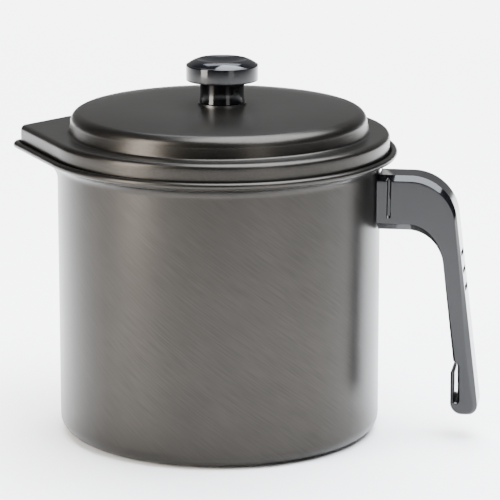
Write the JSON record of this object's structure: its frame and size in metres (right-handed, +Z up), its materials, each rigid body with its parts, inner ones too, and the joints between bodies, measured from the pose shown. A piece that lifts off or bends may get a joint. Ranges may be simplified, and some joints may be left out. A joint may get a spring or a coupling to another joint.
{
  "type": "bacon grease container",
  "caption": "Metal pot with a pouring lip, lift-out strainer, seated lid with round knob, and a side handle ending in a hanging hook, for straining and keeping cooking fat.",
  "frame": {"origin": "centre of the pot's bottom, on its axis", "axes": "+Z up along the pot's axis, +X towards the handle, -X towards the pouring lip; XZ is the plane of symmetry"},
  "size_m": [0.2056, 0.1546, 0.1642],
  "materials": {
    "coated_metal": "satin, fine grain",
    "moulded_black": "gloss",
    "bracket_steel": "satin",
    "screw_steel": "bright",
    "strainer_steel": "satin",
    "mesh_steel": "fine woven mesh",
    "brass_insert": "turned"
  },
  "bodies": {
    "pot": {"pot_body": "coated_metal", "handle": "moulded_black", "handle_bracket": "bracket_steel", "handle_screw": "screw_steel"},
    "strainer": {"strainer_pan": "strainer_steel", "strainer_mesh": "mesh_steel", "strainer_ring": "strainer_steel"},
    "lid": {"lid_plate": "coated_metal", "lid_washer": "screw_steel", "knob": "moulded_black", "knob_collar": "bracket_steel", "knob_insert": "brass_insert", "knob_screw": "screw_steel"}
  },
  "joints": [
    {"name": "strainer_lift", "type": "slide", "parent": "pot", "child": "strainer", "axis": [0, 0, 1], "range_m": [0, 0.06]},
    {"name": "lid_lift", "type": "slide", "parent": "strainer", "child": "lid", "axis": [0, 0, 1], "range_m": [0, 0.06]}
  ]
}
